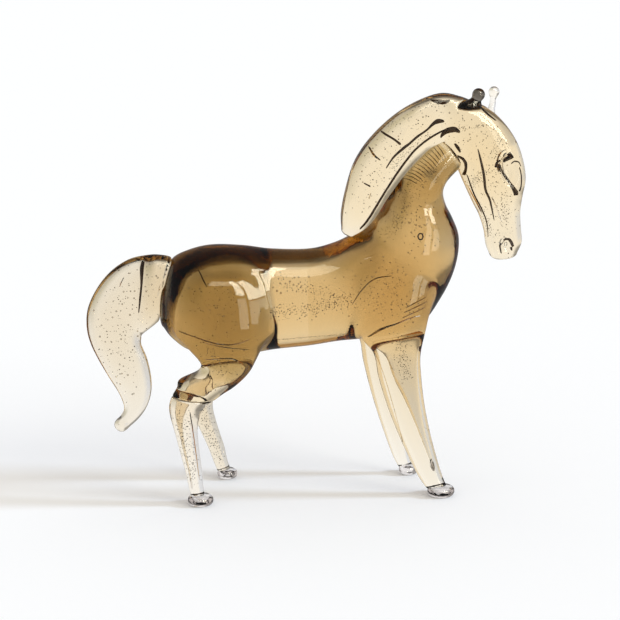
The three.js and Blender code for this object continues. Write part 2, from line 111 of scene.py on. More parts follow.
# A line of painted shade is a path of the same kind: dark opaque glass along a fold, where refraction shows
# shade
SHADE_LINES = {
    "crest_and_head": [
        [(21, 107.5, 0.24), (22.2, 106.7, 0.32), (24.7, 105.2, 0.3), (26.7, 103.6, 0.38)],
        [(16.1, 92.7, 0.18), (18.1, 91.6, 0.26)],
        [(22.5, 96.8, 0.16), (24.7, 100, 0.3), (27.5, 102.5, 0.42), (29.3, 103.9, 0.35),
         (31.4, 105.8, 0.35), (34.2, 107.8, 0.3), (36.1, 109.5, 0.48), (37.5, 110.1, 0.69),
         (39.1, 110.1, 0.32)],
        [(38.2, 105.2, 0.26), (39.6, 106.9, 0.8), (41.8, 107.7, 0.8), (43.5, 107, 0.32)],
        [(41.9, 103.6, 0.32), (42.8, 102.3, 0.48), (43.6, 101, 0.26)],
        [(42.8, 99.8, 0.32), (44, 99, 0.48), (45, 97.8, 0.48), (45.2, 95.9, 0.42), (44.7, 94.1, 0.59)],
        [(48.6, 102.3, 0.13), (49.4, 99.4, 0.3), (50.5, 94.7, 0.38), (51.2, 89.9, 0.35),
         (52.6, 86.8, 0.3), (54.1, 80.7, 0.13)],
        [(55.4, 97.6, 0.45), (56, 95.7, 0.52), (57.9, 92.7, 0.5), (59.8, 89.9, 0.6),
         (61, 88.2, 0.85)],
        [(53.9, 96.7, 0.39), (54.3, 98.1, 0.35), (55.3, 98.8, 0.24)],
        [(56.3, 98.1, 0.6), (57.8, 99, 1.05), (59.2, 99.9, 0.95)],
        [(58.5, 97.4, 0.16), (59.6, 98.2, 0.2), (61, 97.9, 0.18), (61.7, 96.6, 0.16)],
        [(45.6, 94.6, 0.2), (47.9, 88.4, 0.28), (50.3, 83.9, 0.24), (51.9, 79.9, 0.2), (52.5, 75.4, 0.12)],
        [(56.2, 99.7, 0.16), (56.5, 100.5, 0.24), (57.1, 100.9, 0.16)],
        [(61.2, 96.5, 0.18), (61.9, 94.1, 0.24), (62, 90.8, 0.26), (61.6, 89.1, 0.38)],
        [(56.5, 70.7, 0.18), (56, 72.9, 0.24), (56.2, 74.1, 0.18)],
        [(56.9, 74.8, 0.21), (58.3, 74.6, 0.38), (59.2, 73.1, 0.39), (59.7, 71.5, 0.21)],
        [(35.3, 116.3, 0.26), (37.1, 116.1, 0.59), (39, 115.8, 0.59), (40.8, 116.2, 0.26)],
        [(50.2, 113.7, 0.35), (52, 112.1, 0.38), (54.3, 110.1, 0.21)],
        [(40, 107.8, 0.27), (37, 106.4, 0.3), (33.8, 104.3, 0.33), (31, 101.9, 0.33),
         (28.8, 99.2, 0.35), (25.9, 95, 0.37), (23, 90.4, 0.37), (20.3, 85.9, 0.38),
         (17.4, 81.1, 0.38), (15.3, 78.7, 0.27)]],
    "body": [
        [(26.2, 91.5, 0.35), (25.3, 90.3, 0.75), (24.3, 88.7, 0.93), (23.3, 87.3, 0.64)]],
    "tail_blade": [
        [(-47, 71.2, 0.45), (-47.5, 68.6, 0.6), (-47.7, 64, 0.34), (-48.2, 59.5, 0.3),
         (-48.6, 55.5, 0.15)]]}
# A swarm of seeds: its half width, how many, their least and largest radius, and its middle line of x
# and z. Seeds of less than SMALL in radius are specks of painted shade in dark opaque glass, and the others are
# round bubbles of air.
SWARMS = {
    "crest_and_head": [
        (1.2, 209, 0.1, 0.24, [(23.2, 108.7), (27.3, 112.5), (32.4, 115.1), (39.3, 115.3)]),
        (0.6, 49, 0.1, 0.24, [(42.6, 108.3), (52.1, 108.7)]),
        (7.5, 323, 0.1, 0.26, [(45.7, 111.1), (52.7, 99), (55.9, 75)]),
        (1.4, 209, 0.1, 0.18, [(46.3, 90), (50.8, 95.8)]),
        (1.4, 209, 0.1, 0.18, [(49.4, 85.3), (53.1, 76.3)]),
        (9.9, 323, 0.1, 0.24, [(15.6, 87.8), (22.2, 103.6), (34.9, 112.1)]),
        (1.2, 95, 0.1, 0.21, [(54.7, 106.9), (54.1, 99.6)]),
        (1.4, 104, 0.1, 0.21, [(57.1, 90), (57.3, 79.1)]),
        (0.9, 114, 0.1, 0.18, [(24.2, 96.4), (28.7, 102.1), (35, 106.6)])],
    "body": [
        (2.6, 323, 0.11, 0.24, [(34.7, 97.3), (29, 90.5), (22.1, 77)]),
        (2.3, 342, 0.11, 0.23, [(-11.4, 57), (0.1, 57.1), (11.5, 60.2)]),
        (0.25, 150, 0.12, 0.22, [(-10, 48.1), (12.2, 49.1)]),
        (2.3, 171, 0.11, 0.25, [(-9.8, 65.8), (10.1, 60.5)]),
        (11.6, 209, 0.11, 0.27, [(-31.3, 64.5), (-21.6, 59)]),
        (10.4, 247, 0.11, 0.27, [(17.2, 63.2), (28.5, 60.3)]),
        (5.8, 133, 0.11, 0.27, [(-31.6, 47.2), (-24.6, 36.8)]),
        (2, 171, 0.11, 0.21, [(25.8, 49), (27.8, 36.2)]),
        (7, 171, 0.11, 0.27, [(29, 89.7), (32.9, 77.3)])],
    "tail_blade": [
        (8.7, 300, 0.12, 0.3, [(-45.1, 67), (-53.9, 53.7), (-57.6, 30)])],
    "hind_shank_right": [
        (2.4, 200, 0.1, 0.22, [(-36, 28), (-35.6, 20), (-33.6, 8)]),
        (1.2, 90, 0.12, 0.26, [(-37.8, 28), (-37, 18), (-34.8, 8)])],
    "hind_shank_left": [
        (2.8, 320, 0.1, 0.24, [(-30.1, 26), (-28.1, 16), (-25, 6.5)])]}
# More bubbles of air: x, z and radius
BUBBLES = {
    "body": [(-10.4, 64, 0.26), (-9.3, 63, 0.3), (-8.2, 62.4, 0.28), (-6.8, 64.9, 0.24),
        (-5.5, 65.4, 0.28), (-4.5, 64.5, 0.26), (0, 66.5, 0.25), (-31.5, 66.3, 0.26),
        (-29.3, 65.7, 0.3), (-26.5, 67.2, 0.22)]}
# Rings of painted shade in dark opaque glass: x, z, half length along x and along z, and radius of the rod
SHADE_RINGS = {"body": [(31.7, 78.2, 0.7, 0.85, 0.2)]}


# Sections in mm, as in the CAD source: x, z, span, width, tilt, y, roundness

def blend(a, b, c, d, t):
    """Share t of the way from b to c, on the smooth curve that comes from a and goes on to d."""
    return b + 0.5 * t * ((c - a) + t * ((2 * a - 5 * b + 4 * c - d) + t * (3 * (b - c) + d - a)))


def refine(rows, steps=STEPS):
    """The rows, with others blended in between."""
    rows = np.asarray(rows, float)
    last = len(rows) - 1
    fine = []
    for i in range(last):
        a, b, c, d = rows[max(i - 1, 0)], rows[i], rows[i + 1], rows[min(i + 2, last)]
        fine += [blend(a, b, c, d, k / steps) for k in range(steps)]
    return np.array(fine + [rows[last]])


def section(x, z, span, width, tilt, y=0.0, roundness=1.0):
    return [x, z, span, width, tilt, y, roundness]


def ring(row, scale=1.0):
    """Points round a section."""
    x, z, span, width, tilt, y, roundness = row
    angle = np.arange(SIDES) * 2 * math.pi / SIDES
    c, n = np.cos(angle), np.sin(angle)
    along = 0.5 * span * scale * np.sign(c) * np.abs(c) ** roundness
    across = 0.5 * width * scale * np.sign(n) * np.abs(n) ** roundness
    lean = math.radians(tilt)
    return np.stack([x + along * math.cos(lean), y + across, z + along * math.sin(lean)], 1)


def middle(row):
    return np.array([row[0], row[5], row[1]])


def square_to(row, before):
    """Normal of a section, away from the one before it."""
    lean = math.radians(row[4])
    normal = np.array([-math.sin(lean), 0, math.cos(lean)])
    return -normal if normal @ (middle(row) - before) < 0 else normal


def shifted(row, way):
    moved = np.array(row, float)
    moved[0] += way[0]
    moved[5] += way[1]
    moved[1] += way[2]
    return moved


def cap_rings(row, out, length):
    angles = [0.5 * math.pi * k / CAP_STEPS for k in range(1, CAP_STEPS)]
    return [ring(shifted(row, out * length * math.sin(a)), scale=math.cos(a)) for a in angles]


def loft(rows, start_cap=0.0, end_cap=0.0):
    """Closed mesh through the sections, as points, triangles and quads."""
    start_out = square_to(rows[0], middle(rows[1]))
    end_out = square_to(rows[-1], middle(rows[-2]))
    rings = [ring(row) for row in rows]
    tips = [middle(rows[0]), middle(rows[-1])]
    if start_cap:
        rings = cap_rings(rows[0], start_out, start_cap)[::-1] + rings
        tips[0] = tips[0] + start_out * start_cap
    if end_cap:
        rings = rings + cap_rings(rows[-1], end_out, end_cap)
        tips[1] = tips[1] + end_out * end_cap
    points = np.concatenate([tips[0][None], *rings, tips[1][None]])
    i = np.arange(SIDES)
    nxt = (i + 1) % SIDES
    quads = []
    for r in range(len(rings) - 1):
        a = 1 + r * SIDES
        quads.append(np.stack([a + i, a + nxt, a + SIDES + nxt, a + SIDES + i], 1))
    last = 1 + (len(rings) - 1) * SIDES
    tris = np.concatenate([
        np.stack([np.zeros(SIDES, int), 1 + nxt, 1 + i], 1),
        np.stack([np.full(SIDES, len(points) - 1), last + i, last + nxt], 1)])
    return points, tris, np.concatenate(quads)


# Distance fields in mm on one grid round the figurine

LOW = np.array([-67.0, -18.0, -3.0])
HIGH = np.array([67.0, 18.0, 123.0])
COUNT = np.ceil((HIGH - LOW) / VOXEL).astype(int)
GRID = vdb.createLinearTransform(voxelSize=VOXEL)
TINY = 1e-6
SETTLE_STEPS = 3  # times that points are moved onto the zero level


def field(shape):
    """Signed distance to a closed mesh, negative inside."""
    points, tris, quads = shape
    moved = (points - LOW).astype(np.float32)
    grid = vdb.FloatGrid.createLevelSetFromPolygons(
        np.ascontiguousarray(moved), triangles=np.ascontiguousarray(tris.astype(np.uint32)),
        quads=np.ascontiguousarray(quads.astype(np.uint32)), transform=GRID, halfWidth=float(BAND))
    out = np.zeros(COUNT, np.float32)
    grid.copyToArray(out)
    return out


def smooth_min(a, b, k):
    """Union of two fields, filled out where they differ by less than k."""
    h = np.clip(k - np.abs(a - b), 0, None) / k
    return np.minimum(a, b) - 0.25 * k * h * h


def smooth_max(a, b, k):
    return -smooth_min(-a, -b, k)


def sample(values, at):
    """Trilinear value of a field at points in grid units."""
    # Short of the last value, so that each point has one on either side
    at = np.clip(at, 0, np.array(values.shape) - 1.001)
    base = np.floor(at).astype(int)
    f = (at - base).astype(np.float32)
    x, y, z = base.T
    fx, fy, fz = f.T
    total = 0
    for dx, dy, dz in product((0, 1), repeat=3):
        weight = (fx if dx else 1 - fx) * (fy if dy else 1 - fy) * (fz if dz else 1 - fz)
        total = total + weight * values[x + dx, y + dy, z + dz]
    return total


def slope(values, at):
    """Slope of a field at points in grid units, measured over one voxel."""
    return np.stack([
        sample(values, at + step) - sample(values, at - step) for step in 0.5 * np.eye(3)], 1)


def surface(values):
    """Points in mm and quads on the zero level of a field."""
    grid = vdb.FloatGrid(float(BAND * VOXEL))
    grid.copyFromArray(values, tolerance=TINY)
    points, quads = grid.convertToQuads(isovalue=0.0)
    at = points.astype(float)
    for _ in range(SETTLE_STEPS):
        g = slope(values, at)
        steep = np.maximum((g ** 2).sum(1), TINY)
        at = at - g * (sample(values, at) / steep)[:, None]
    g = slope(values, at)
    normals = g / np.linalg.norm(g, axis=1, keepdims=True)
    a, b, c, d = (at[quads[:, k]] for k in range(4))
    facing = (np.cross(c - a, d - b) * normals[quads[:, 0]]).sum(1).mean()
    if facing < 0:
        quads = quads[:, ::-1]
    return at * VOXEL + LOW, quads.astype(int)


# Marks under a piece's near face. Seams and bubbles are air: closed pockets in its mesh, whose faces
# look into the pocket. Shade lines, rings and specks are painted shade in dark opaque glass, in a mesh of their
# own.

OUTSIDE = 60  # mm from the middle plane, clear of the figurine
PAST = 0.05  # mm past a face, where the next one is looked for
WALL = 0.2  # least glass round a pocket
SEAM_DEPTH = 0.3  # glass over a seam or a line of painted shade
SEAM_FINE = 6  # steps from a point of a seam to the next
SEAM_LEAST = 4  # least points of a seam
SEAM_TIP = 0.3  # width of a seam's ends, as a share
SEAM_ROOM = 1.2  # room that a seam takes, in half widths
RIDGE = 1.5  # height of a seam's ridge, in half widths
BUBBLE_DEPTH = 0.3  # glass over one of BUBBLES
SEED_DEPTH = 0.2  # least glass over a seed of a swarm
SEED_DEEPER = 0.9  # what chance adds to that at most
SEED_ROOM = 1.3  # room that a seed takes, in radii
SEED_GAP = 0.05
SMALL = 0.23  # seeds of a smaller radius are specks of painted shade
FACING = 0.5  # least part of a face's normal that points to the right
RING_DEPTH = 0.5  # from the face to the middle of the rod
RING_ROOM = 0.1  # radius of the room that each of its points takes


def near_face(tree, x, z):
    """Point and normal where a line from the horse's right meets a piece, and the thickness there."""
    along = Vector((0, 1, 0))
    hit, normal, _, _ = tree.ray_cast(Vector((x, -OUTSIDE, z)), along)
    if hit is None:
        return None
    if normal.y > 0:
        normal = -normal
    back = tree.ray_cast(hit + PAST * along, along)[0]
    return np.array(hit), np.array(normal), back.y - hit.y if back else 0


def turned_in(points, faces):
    """Faces in the order that makes a closed pocket look inwards."""
    volume = 0
    for face in faces:
        for k in range(1, len(face) - 1):
            a, b, c = points[face[0]], points[face[k]], points[face[k + 1]]
            volume += a @ np.cross(b, c)
    return [face[::-1] for face in faces] if volume > 0 else faces


def tube_faces(rings, sides, closed=False):
    """Faces of a tube, with flat ends or closed to a ring."""
    count = rings * sides
    faces = []
    for r in range(rings if closed else rings - 1):
        for k in range(sides):
            a, b = r * sides + k, r * sides + (k + 1) % sides
            faces.append([a, b, (b + sides) % count, (a + sides) % count])
    if not closed:
        faces.append(list(range(sides))[::-1])
        faces.append([count - sides + k for k in range(sides)])
    return faces


def seam(tree, path):
    """Shell along a path of x, z and half width, its ridge to the near face, and the room it takes."""
    found, halves = [], []
    for x, z, half in refine(path, SEAM_FINE):
        face = near_face(tree, x, z)
        if face is not None and face[2] > SEAM_DEPTH + WALL + RIDGE * half:
            found.append(face[:2])
            halves.append(half)
    if len(found) < SEAM_LEAST:
        return None
    at = np.array([f[0] for f in found])
    normal = np.array([f[1] for f in found])
    along = np.gradient(at, axis=0)
    side = np.cross(normal, along)
    side /= np.linalg.norm(side, axis=1, keepdims=True)
    half = np.array(halves)
    half[[0, -1]] *= SEAM_TIP
    half = half[:, None]
    crest = at - normal * SEAM_DEPTH
    low = at - normal * (SEAM_DEPTH + RIDGE * half)
    points = np.stack([crest, low + side * half, low - side * half], 1).reshape(-1, 3)
    return points, tube_faces(len(at), 3), list(zip(0.5 * (crest + low), SEAM_ROOM * half[:, 0]))


def seams(tree, paths):
    return [made for made in (seam(tree, path) for path in paths) if made]


def ball_points():
    """Points and faces of a unit ball."""
    ball = bmesh.new()
    bmesh.ops.create_icosphere(ball, subdivisions=2, radius=1)
    points = np.array([v.co for v in ball.verts])
    faces = [[v.index for v in f.verts] for f in ball.faces]
    ball.free()
    return points, faces


BALL, BALL_FACES = ball_points()
# A seed that is a speck of painted shade has one point towards the near face
SPECK = np.array([[1, 0, 0], [0, 0, 1], [-1, 0, 0], [0, 0, -1], [0, -1.3, 0], [0, 0.8, 0]])
SPECK_FACES = [[k, (k + 1) % 4, 4] for k in range(4)] + [[(k + 1) % 4, k, 5] for k in range(4)]


def line_point(line, share):
    """Place on a line of straight parts, at a share of its length."""
    line = np.array(line, float)
    run = np.concatenate([[0], np.cumsum(np.linalg.norm(np.diff(line, axis=0), axis=1))])
    return np.array([np.interp(share * run[-1], run, axis) for axis in line.T])


def seeds(tree, name, draw, taken):
    """Centres and radii of the seeds and bubbles of a piece, clear of each other and of what is taken."""
    wanted = [(x, z, radius, BUBBLE_DEPTH) for x, z, radius in BUBBLES.get(name, [])]
    for half, count, least, largest, line in SWARMS.get(name, []):
        for _ in range(count):
            x, z = line_point(line, draw.random()) + draw.normal(0, 0.5 * half, 2)
            radius = least + (largest - least) * draw.random() ** 2
            wanted.append((x, z, radius, SEED_DEPTH + SEED_DEEPER * draw.random() ** 2))
    made = []
    for x, z, radius, deep in wanted:
        face = near_face(tree, x, z)
        if face is None:
            continue
        at, normal, thick = face
        if thick < deep + 2 * radius + WALL or normal[1] > -FACING:
            continue
        centre = at + np.array([0, deep + radius, 0])
        near = tree.find_nearest(Vector(centre))[3]
        if near < SEED_ROOM * radius + 0.5 * WALL:
            continue
        if taken:
            away = np.linalg.norm(np.array([t[0] for t in taken]) - centre, axis=1)
            if (away < np.array([t[1] for t in taken]) + SEED_ROOM * radius + SEED_GAP).any():
                continue
        taken.append((centre, radius))
        made.append((centre, radius))
    return made


def shade_ring(tree, x, z, across, high, radius, turns=20, sides=6):
    """Closed ring of painted shade: a round rod under the near face."""
    points = []
    for t in range(turns):
        a = 2 * math.pi * t / turns
        out = np.array([across * math.cos(a), high * math.sin(a)])
        centre = near_face(tree, x + out[0], z + out[1])[0] + np.array([0, RING_DEPTH, 0])
        away = np.array([math.cos(a), 0, math.sin(a)])
        for k in range(sides):
            b = 2 * math.pi * k / sides
            points.append(centre + radius * (math.cos(b) * away + math.sin(b) * np.array([0, 1, 0])))
    return np.array(points), tube_faces(turns, sides, closed=True)


def add_shells(mesh, inwards, flat, smooth=()):
    """Adds closed shells to a mesh, with flat or smooth faces that look in or out."""
    whole = bmesh.new()
    whole.from_mesh(mesh)
    for shells, rounded in ((flat, False), (smooth, True)):
        for points, faces in shells:
            corners = [whole.verts.new(p * MM) for p in points]
            for face in turned_in(points, faces):
                whole.faces.new([corners[k] for k in (face if inwards else face[::-1])]).smooth = rounded
    whole.to_mesh(mesh)
    whole.free()


def linked(name, data):
    """New object in the scene."""
    obj = bpy.data.objects.new(name, data)
    bpy.context.scene.collection.objects.link(obj)
    return obj


def add_marks(mesh, name, points, quads):
    """Cuts the air pockets of a piece into its mesh, and sets its painted shade, lines and specks of dark
    opaque glass, under its face.
    """
    tree = BVHTree.FromPolygons(points.tolist(), quads.tolist())
    draw = np.random.default_rng(len(name))
    pockets = seams(tree, SEAMS.get(name, []))
    shade_lines = seams(tree, SHADE_LINES.get(name, []))
    taken = [spot for made in pockets + shade_lines for spot in made[2]]
    dark = [made[:2] for made in shade_lines]
    for place in SHADE_RINGS.get(name, []):
        loop = shade_ring(tree, *place)
        taken += [(p, RING_ROOM) for p in loop[0]]
        dark.append(loop)
    round_pockets = []
    for centre, radius in seeds(tree, name, draw, taken):
        if radius < SMALL:
            turn = draw.random() * math.pi
            c, n = math.cos(turn), math.sin(turn)
            spun = SPECK @ np.array([[c, 0, n], [0, 1, 0], [-n, 0, c]])
            dark.append((centre + radius * spun, SPECK_FACES))
        else:
            round_pockets.append((centre + radius * BALL, BALL_FACES))
    add_shells(mesh, True, [made[:2] for made in pockets], round_pockets)
    # Lines, rings and small specks of painted shade go in a mesh of their own, in dark opaque glass
    inner = bpy.data.meshes.new(name + "_painted_shade")
    add_shells(inner, False, dark)
    inner.materials.append(painted_shade_glass)
    obj = linked(name + "_painted_shade", inner)
    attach(obj, "root")


# The CAD part's corners in mm
CAD_LOW, CAD_HIGH = (np.array(corner) / MM for corner in (cad_low, cad_high))


def piece(name, values, material, slot, *nodes):
    """Makes a piece with its marks from its field, within the CAD part's size, in place of the nodes."""
    points, quads = surface(values)
    points = np.clip(points, CAD_LOW, CAD_HIGH)
    mesh = bpy.data.meshes.new(name)
    mesh.from_pydata([], [], [])
    mesh.vertices.add(len(points))
    mesh.vertices.foreach_set("co", (points * MM).astype(np.float32).ravel())
    mesh.loops.add(quads.size)
    mesh.loops.foreach_set("vertex_index", quads.astype(np.int32).ravel())
    mesh.polygons.add(len(quads))
    mesh.polygons.foreach_set("loop_start", np.arange(0, quads.size, 4, dtype=np.int32))
    mesh.update(calc_edges=True)
    mesh.validate()
    mesh.polygons.foreach_set("use_smooth", np.ones(len(mesh.polygons), bool))
    if name in SWARMS:
        add_marks(mesh, name, points, quads)
    mesh.materials.append(material)
    obj = linked(name, mesh)
    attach(obj, "root")
    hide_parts(*nodes)


# The figurine's sections, from the CAD source's sizes. W and T are sizes across it, S is a span.

SHIFT = np.array([-41.9227, 0, 0])  # from the CAD source's zero to the middle of the figurine
BELLY = 44.1  # height over the floor
TRUNK = 86  # length
BARREL = 28.5  # height
BARREL_W = 22
RUMP_W = 26
SHOULDER_W = 25.4
NECK = 35.6  # length
NECK_W = 24.4
THROAT_W = 16
HEAD = 48.5  # length
HEAD_T = 12.4
EAR_SPREAD = 7.6
MANE_H = 14.3  # height over the crest
MANE_T = 9.4
MANE_SEAT = 0.4  # how far the mane reaches into the crest
SLAB_ROUND = 0.71
BLADE_ROUND = 0.77


def in_trunk(along, up):
    return along * TRUNK, BELLY + up * BARREL


# Rows: place along and height of the middle, span, width or thickness, and tilt
trunk_rows = [
    (0.007, 0.48, 0.49, 0.49 * RUMP_W, 88), (0.036, 0.52, 0.81, 0.77 * RUMP_W, 89),
    (0.094, 0.505, 1.03, 0.94 * RUMP_W, 88), (0.176, 0.495, 1.14, RUMP_W, 90),
    (0.282, 0.49, 1.12, 0.97 * RUMP_W, 91), (0.376, 0.49, 1.04, 1.03 * BARREL_W, 91),
    (0.497, 0.5, 1, BARREL_W, 90), (0.593, 0.55, 1.015, 1.03 * BARREL_W, 94),
    (0.683, 0.6, 1.09, 0.98 * SHOULDER_W, 106), (0.766, 0.675, 1.17, SHOULDER_W, 121),
    (0.817, 0.85, 1.08, 0.95 * SHOULDER_W, 136)]
trunk_sections = [
    section(*in_trunk(along, up), span * BARREL, width, tilt)
    for along, up, span, width, tilt in trunk_rows]
withers = in_trunk(0.666, 1.175)
throat = THROAT_W / NECK_W
neck_rows = [
    (0.445, -0.105, 0.79, 1, 151), (0.485, 0.05, 0.7, 0.91, 161), (0.486, 0.176, 0.575, 0.83, 164),
    (0.49, 0.278, 0.455, 0.75, 162), (0.515, 0.385, 0.355, 1.22 * throat, 157),
    (0.575, 0.482, 0.305, 1.12 * throat, 147), (0.66, 0.57, 0.29, throat, 137),
    (0.74, 0.635, 0.28, 0.86 * throat, 128)]
neck_sections = [
    section(withers[0] + along * NECK, withers[1] + up * NECK, span * NECK, width * NECK_W, tilt)
    for along, up, span, width, tilt in neck_rows]
body_sections = trunk_sections + neck_sections


def top_of(row):
    """Upper end of a section's span."""
    lean = math.radians(row[4])
    half = 0.5 * row[2]
    return np.array([row[0] + half * math.cos(lean), row[5], row[1] + half * math.sin(lean)])


CREST_STEP = 0.02


def crest_curve(points):
    """Closely spaced points on a centripetal spline through points."""
    points = np.array(points)
    pts = np.concatenate([[2 * points[0] - points[1]], points, [2 * points[-1] - points[-2]]])
    fine = []
    for i in range(1, len(pts) - 2):
        p0, p1, p2, p3 = pts[i - 1:i + 3]
        d0 = np.linalg.norm(p1 - p0) ** 0.5
        d1 = np.linalg.norm(p2 - p1) ** 0.5
        d2 = np.linalg.norm(p3 - p2) ** 0.5
        t1 = ((p1 - p0) / d0 - (p2 - p0) / (d0 + d1) + (p2 - p1) / d1) * d1
        t2 = ((p2 - p1) / d1 - (p3 - p1) / (d1 + d2) + (p3 - p2) / d2) * d1
        for t in np.arange(0, 1, CREST_STEP):
            fine.append(
                p1 * (2 * t ** 3 - 3 * t ** 2 + 1) + t1 * (t ** 3 - 2 * t ** 2 + t)
                + p2 * (3 * t ** 2 - 2 * t ** 3) + t2 * (t ** 3 - t ** 2))
    return np.array(fine + [points[-1]])


UNDER_CREST = 3  # sections of the trunk that the crest runs over
crest = crest_curve([top_of(row) for row in body_sections[len(trunk_sections) - UNDER_CREST:]])
mane_rows = [
    (0.03, 0.26, 152, 0.6), (0.13, 0.56, 147, 0.85), (0.25, 0.8, 139, 1), (0.4, 0.95, 136, 1),
    (0.54, 1, 136, 1), (0.68, 1, 135, 1), (0.81, 0.98, 128, 1), (0.92, 0.94, 118, 1.05)]
mane_sections = []
for along, height, lean, thickness in mane_rows:
    foot = line_point(crest, along)
    span = height * MANE_H + MANE_SEAT
    out = 0.5 * span - MANE_SEAT
    mane_sections.append(section(
        foot[0] + out * math.cos(math.radians(lean)), foot[2] + out * math.sin(math.radians(lean)),
        span, thickness * MANE_T, lean, 0, SLAB_ROUND))
poll = crest[-1]
head_rows = [
    (0.007, 0.119, 0.309, 0.74, 96), (0.079, 0.099, 0.318, 0.84, 77), (0.126, 0.068, 0.338, 0.9, 67),
    (0.181, 0.031, 0.364, 0.95, 55), (0.239, -0.034, 0.381, 1, 43), (0.287, -0.112, 0.386, 1, 30),
    (0.319, -0.197, 0.377, 0.96, 18), (0.341, -0.281, 0.353, 0.9, 12), (0.35, -0.366, 0.299, 0.8, 9),
    (0.363, -0.45, 0.248, 0.68, 5), (0.382, -0.55, 0.221, 0.64, 4), (0.392, -0.635, 0.216, 0.62, 5),
    (0.391, -0.696, 0.167, 0.54, 4)]


def in_head(along, up):
    return poll[0] + along * HEAD, poll[2] + up * HEAD


head_sections = [
    section(*in_head(along, up), span * HEAD, thickness * HEAD_T, tilt, 0, SLAB_ROUND)
    for along, up, span, thickness, tilt in head_rows]
slab_rings = refine(mane_sections + head_sections)
head_start = len(mane_sections) * STEPS

TAIL = 51  # length
TAIL_T = 6
DOCK_T = 9.6
dock = in_trunk(0.035, 0.95)
tail_rows = [
    (0.03, -0.18, 0.28, DOCK_T, 84), (-0.026, -0.175, 0.352, DOCK_T, 82),
    (-0.094, -0.19, 0.412, 0.94 * DOCK_T, 86), (-0.165, -0.218, 0.46, 0.72 * DOCK_T, 88),
    (-0.21, -0.236, 0.455, 1.03 * TAIL_T, 99), (-0.26, -0.275, 0.428, TAIL_T, 113),
    (-0.3, -0.33, 0.395, TAIL_T, 128), (-0.325, -0.398, 0.369, TAIL_T, 144),
    (-0.324, -0.466, 0.344, 0.97 * TAIL_T, 157), (-0.306, -0.533, 0.325, 0.93 * TAIL_T, 165),
    (-0.277, -0.611, 0.29, 0.87 * TAIL_T, 171), (-0.243, -0.706, 0.244, 0.77 * TAIL_T, 174),
    (-0.22, -0.788, 0.189, 0.67 * TAIL_T, 175), (-0.218, -0.859, 0.139, 0.6 * TAIL_T, 170),
    (-0.235, -0.911, 0.102, 0.57 * TAIL_T, 157), (-0.273, -0.957, 0.08, 0.57 * TAIL_T, 137),
    (-0.3, -0.985, 0.066, 0.53 * TAIL_T, 133)]
tail_rings = refine([
    section(dock[0] + along * TAIL, dock[1] + up * TAIL, span * TAIL, thickness, tilt, 0, BLADE_ROUND)
    for along, up, span, thickness, tilt in tail_rows])

HOCK = 32  # height over the floor
HAUNCH_S = 27.6
HAUNCH_T = 14
HAUNCH_BACK = 0.7  # how far the haunch lies behind the hip
GASKIN_S = 13.7
GASKIN_T = 9.4
HEEL_BACK = 0.19  # how far the shank's top lies behind the hock, in gaskin spans
HIND_ANKLE = 4.1
HIP_W = 17.2
HOCK_W = 20.4
HIND_FOOT_W = 23
HOOF_T = 2.8
HOOF_RIM = 0.45  # roundness of a hoof's rim, as a share of its thickness
HOOF_LEAD = 0.6  # how far a hoof's middle lies before the ankle
# What the left gaskin loses behind and the right one gains, by row: the right one hides the left
GASKIN_TRIM = {
    1: {0.686: 0.5, 0.52: 1.6, 0.335: 3.0, 0.174: 3.2, 0: 1.4},
    -1: {0.335: -2.1, 0.174: -0.5}}


def mix(a, b, t):
    return a + t * (b - a)


def hind_leg(side, hip, hock, foot):
    """Sections of a hind leg: from inside the rump to the hock, and from there to the ankle."""
    hip_out, hock_out, foot_out = 0.5 * HIP_W, 0.5 * HOCK_W, 0.5 * HIND_FOOT_W
    haunch = [
        (0.9, 0.5, 0.44, 0.42), (0.8, 0.81, 0.71, 0.8), (0.64, 0.93, 0.9, 0.95), (0.43, 1, 0.99, 1),
        (0.235, 1.03, 1, 1)]
    gaskin = [
        (1.14, 0.02, 1.52, 1.4, -1), (0.884, -0.03, 1.21, 1.27, -2), (0.686, 0.01, 1.04, 1.17, -6),
        (0.52, 0.2, 1.01, 1.12, -9), (0.335, 0.49, 1, 1.08, -9), (0.174, 0.76, 0.96, 1.04, -8),
        (0, 1, 0.905, 1, -6)]
    heel, ankle = hock - HEEL_BACK * GASKIN_S, foot - HOOF_LEAD
    shank = [
        (0.06, 0.26, 2.6, 2.25), (0.12, 0.07, 2.3, 2.1), (0.19, 0, 2, 1.9), (0.29, 0.05, 1.68, 1.68),
        (0.42, 0.22, 1.48, 1.5), (0.55, 0.42, 1.34, 1.35), (0.69, 0.64, 1.2, 1.2),
        (0.825, 0.8, 1.05, 1.08)]
    rows = [
        section(
            hip - HAUNCH_BACK, BELLY + up * BARREL, span * HAUNCH_S, thickness * HAUNCH_T, 0,
            side * out * hip_out)
        for up, out, span, thickness in haunch]
    for up, along, span, thickness, tilt in gaskin:
        trim = GASKIN_TRIM[side].get(up, 0)
        rows.append(section(
            mix(hip, hock, along) + 0.5 * trim, HOCK + up * (BELLY - HOCK), span * GASKIN_S - trim,
            thickness * GASKIN_T, tilt, side * mix(hock_out, hip_out, 0.8 * up)))
    rows += [
        section(
            mix(heel, ankle, along), HOCK * (1 - down), span * HIND_ANKLE, thickness * HIND_ANKLE, -2,
            side * mix(hock_out, foot_out, down))
        for down, along, span, thickness in shank]
    rows.append(section(ankle, 0.5 * HOOF_T, HIND_ANKLE, HIND_ANKLE, 0, side * foot_out))
    rings = refine(rows)
    weld = (len(haunch) + len(gaskin) - 1) * STEPS
    return rings[:weld + 1], rings[weld:]


ELBOW_S = 21
ELBOW_T = 11.4
ELBOW_W = 16.4
FORE_ROOT = 13.9  # span at the belly
FORE_ROUND = 0.66  # width of the rod, as a share of its span
FORE_SWEEP = 1.6  # how late a foreleg swings forwards on its way down
FORE_SPREAD = 1.4  # and how soon it swings outwards
FORE_FOOT_W = 20.4


